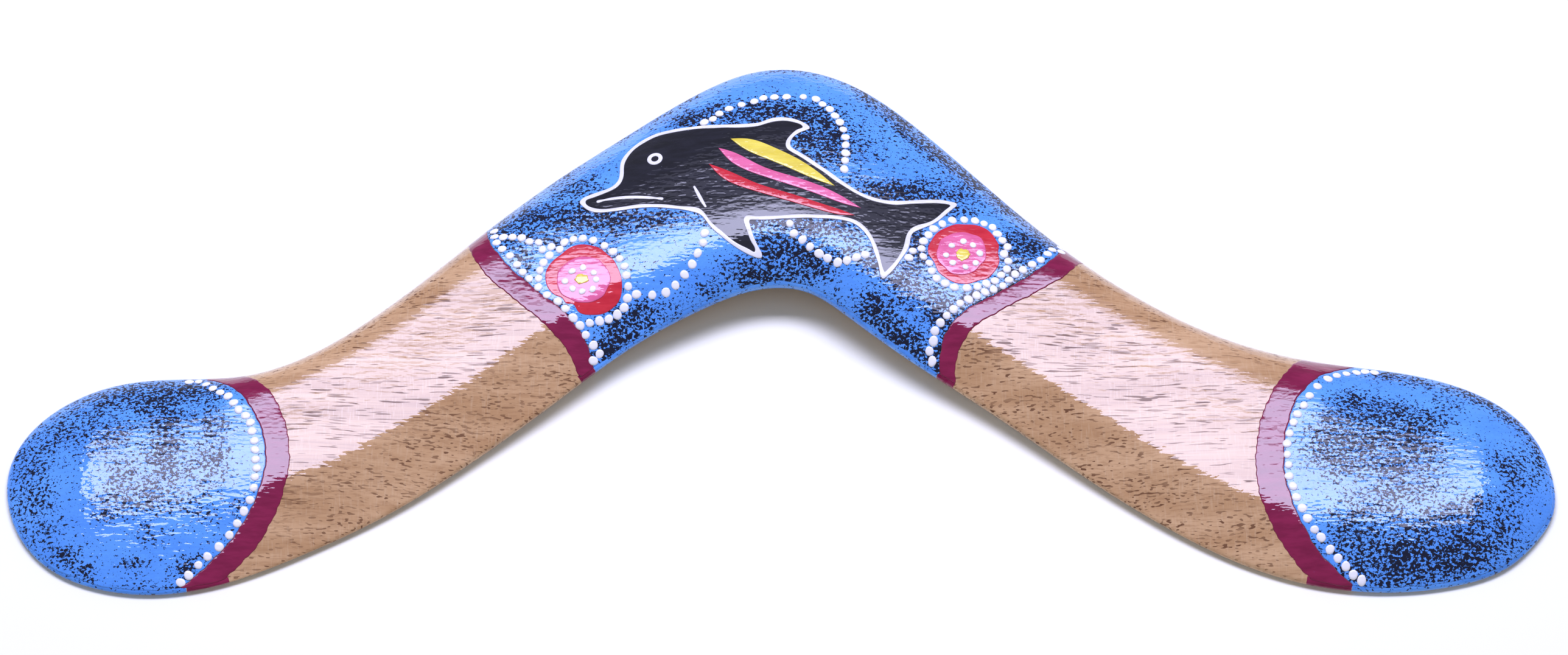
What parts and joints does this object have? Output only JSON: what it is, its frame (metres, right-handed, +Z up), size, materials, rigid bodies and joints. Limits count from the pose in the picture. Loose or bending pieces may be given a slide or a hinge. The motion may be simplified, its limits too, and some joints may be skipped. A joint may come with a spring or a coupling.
{
  "type": "boomerang",
  "caption": "Carved wooden boomerang with rounded paddle tips, painted blue at the tips and elbow, with burgundy bands, raised white dots, rosettes and a plain dolphin.",
  "frame": {"origin": "bottom centre of the bounding box, on the plane of the two flat rests under the arms", "axes": "+X along the span, +Y from the tips towards the elbow, +Z up out of the painted face"},
  "size_m": [0.4004, 0.1586, 0.0197],
  "materials": {
    "blade_wood": "pale tan hardwood with fine dark pores along the span, under clear gloss varnish",
    "paint_blue": "bright blue enamel sponged with black speckle, glossy",
    "paint_burgundy": "burgundy enamel, glossy, brushed by hand",
    "paint_white_dots": "raised drops of white paint, glossy",
    "paint_red": "red enamel, glossy",
    "paint_pink": "pink enamel, glossy",
    "paint_yellow": "yellow enamel, glossy",
    "paint_black": "black enamel, glossy",
    "paint_white_line": "white brush line, glossy"
  },
  "bodies": {
    "root": {"blade": "blade_wood", "paint_blue_left_tip": "paint_blue", "paint_blue_centre": "paint_blue", "paint_blue_right_tip": "paint_blue", "band_left_tip": "paint_burgundy", "band_left_inner": "paint_burgundy", "band_right_inner": "paint_burgundy", "band_right_tip": "paint_burgundy", "dots_left_tip": "paint_white_dots", "dots_left_band": "paint_white_dots", "dots_left_trail": "paint_white_dots", "dots_left_arc": "paint_white_dots", "dots_top_arc": "paint_white_dots", "dots_low_arc": "paint_white_dots", "dots_right_link": "paint_white_dots", "dots_right_band": "paint_white_dots", "dots_right_tip": "paint_white_dots", "rosette_left_red": "paint_red", "rosette_left_pink": "paint_pink", "rosette_left_yellow": "paint_yellow", "rosette_left_ring_dots": "paint_white_dots", "rosette_left_petal_dots": "paint_white_dots", "rosette_right_red": "paint_red", "rosette_right_pink": "paint_pink", "rosette_right_yellow": "paint_yellow", "rosette_right_ring_dots": "paint_white_dots", "rosette_right_petal_dots": "paint_white_dots", "motif_black": "paint_black", "motif_white": "paint_white_line", "motif_eye": "paint_white_line", "motif_stripe_yellow": "paint_yellow", "motif_stripe_pink": "paint_pink", "motif_stripe_red": "paint_red"}
  },
  "joints": []
}
